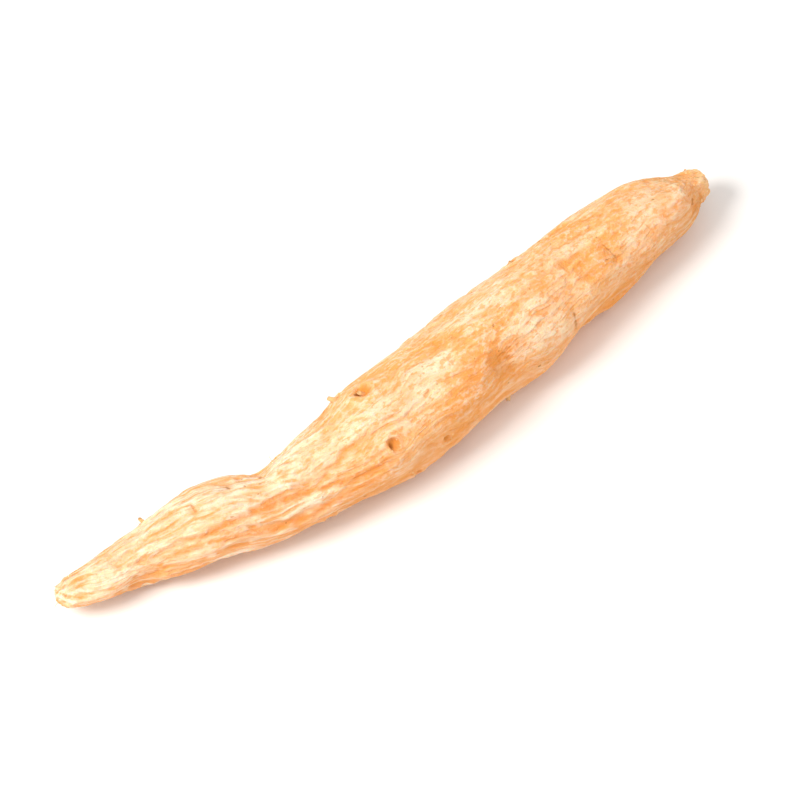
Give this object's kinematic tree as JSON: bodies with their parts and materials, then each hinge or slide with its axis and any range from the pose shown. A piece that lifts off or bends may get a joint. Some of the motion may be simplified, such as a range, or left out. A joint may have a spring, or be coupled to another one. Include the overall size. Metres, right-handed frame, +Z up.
{
  "type": "dried pseudostellaria root",
  "caption": "Dried spindle-shaped medicinal root with a furrowed skin, a slender broken tail and a blunt crown, lying on its side.",
  "frame": {"origin": "on the surface that the root lies on, under the middle of its outline", "axes": "+X runs from the broken tail to the crown, +Z is up"},
  "size_m": [0.0523, 0.0094, 0.0069],
  "materials": {
    "skin": "dry matt root skin, warm cream with a powdery bloom"
  },
  "bodies": {
    "root": {"root": "skin"}
  },
  "joints": []
}
